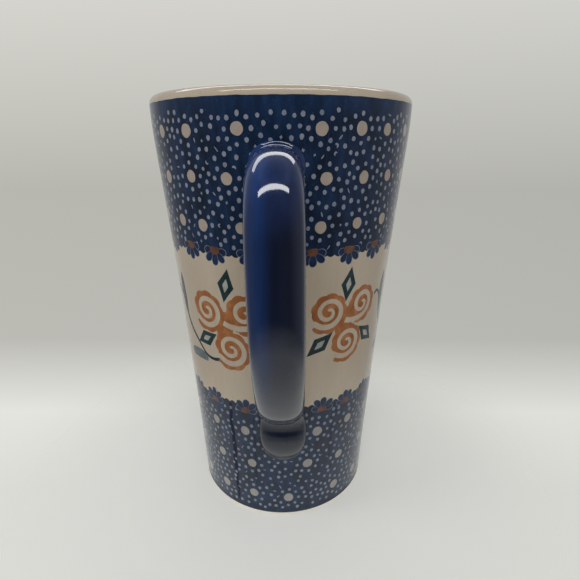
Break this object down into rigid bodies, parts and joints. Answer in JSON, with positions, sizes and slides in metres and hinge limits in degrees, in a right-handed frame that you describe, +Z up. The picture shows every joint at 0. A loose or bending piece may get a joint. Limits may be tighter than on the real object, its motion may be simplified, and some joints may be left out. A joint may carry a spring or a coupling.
{
  "type": "stoneware mug",
  "caption": "Tall tapered stoneware mug with a strap handle, a cobalt dotted and flowered glaze, a cream middle band and a rounded cream lip.",
  "frame": {"origin": "centre of the foot ring's underside, the plane that the mug stands on", "axes": "+Z up along the cup's axis, the handle points along -Y, +X to the right when the handle faces the viewer"},
  "size_m": [0.087, 0.1145, 0.148],
  "materials": {
    "bare_stoneware": "fired, unglazed, fine grained",
    "slip": "fired slip under glaze",
    "cream_glaze": "glossy clear glaze over a cream body",
    "painted_glaze": "glossy clear glaze over stamped cobalt, cream, rust and green",
    "cobalt_glaze": "deep cobalt, very glossy"
  },
  "bodies": {
    "root": {"cup_body": "bare_stoneware", "handle": "bare_stoneware", "upper_handle_joint": "slip", "lower_handle_joint": "slip", "liner_glaze": "cream_glaze", "body_glaze": "painted_glaze", "handle_glaze": "cobalt_glaze", "base_glaze": "cream_glaze"}
  },
  "joints": []
}
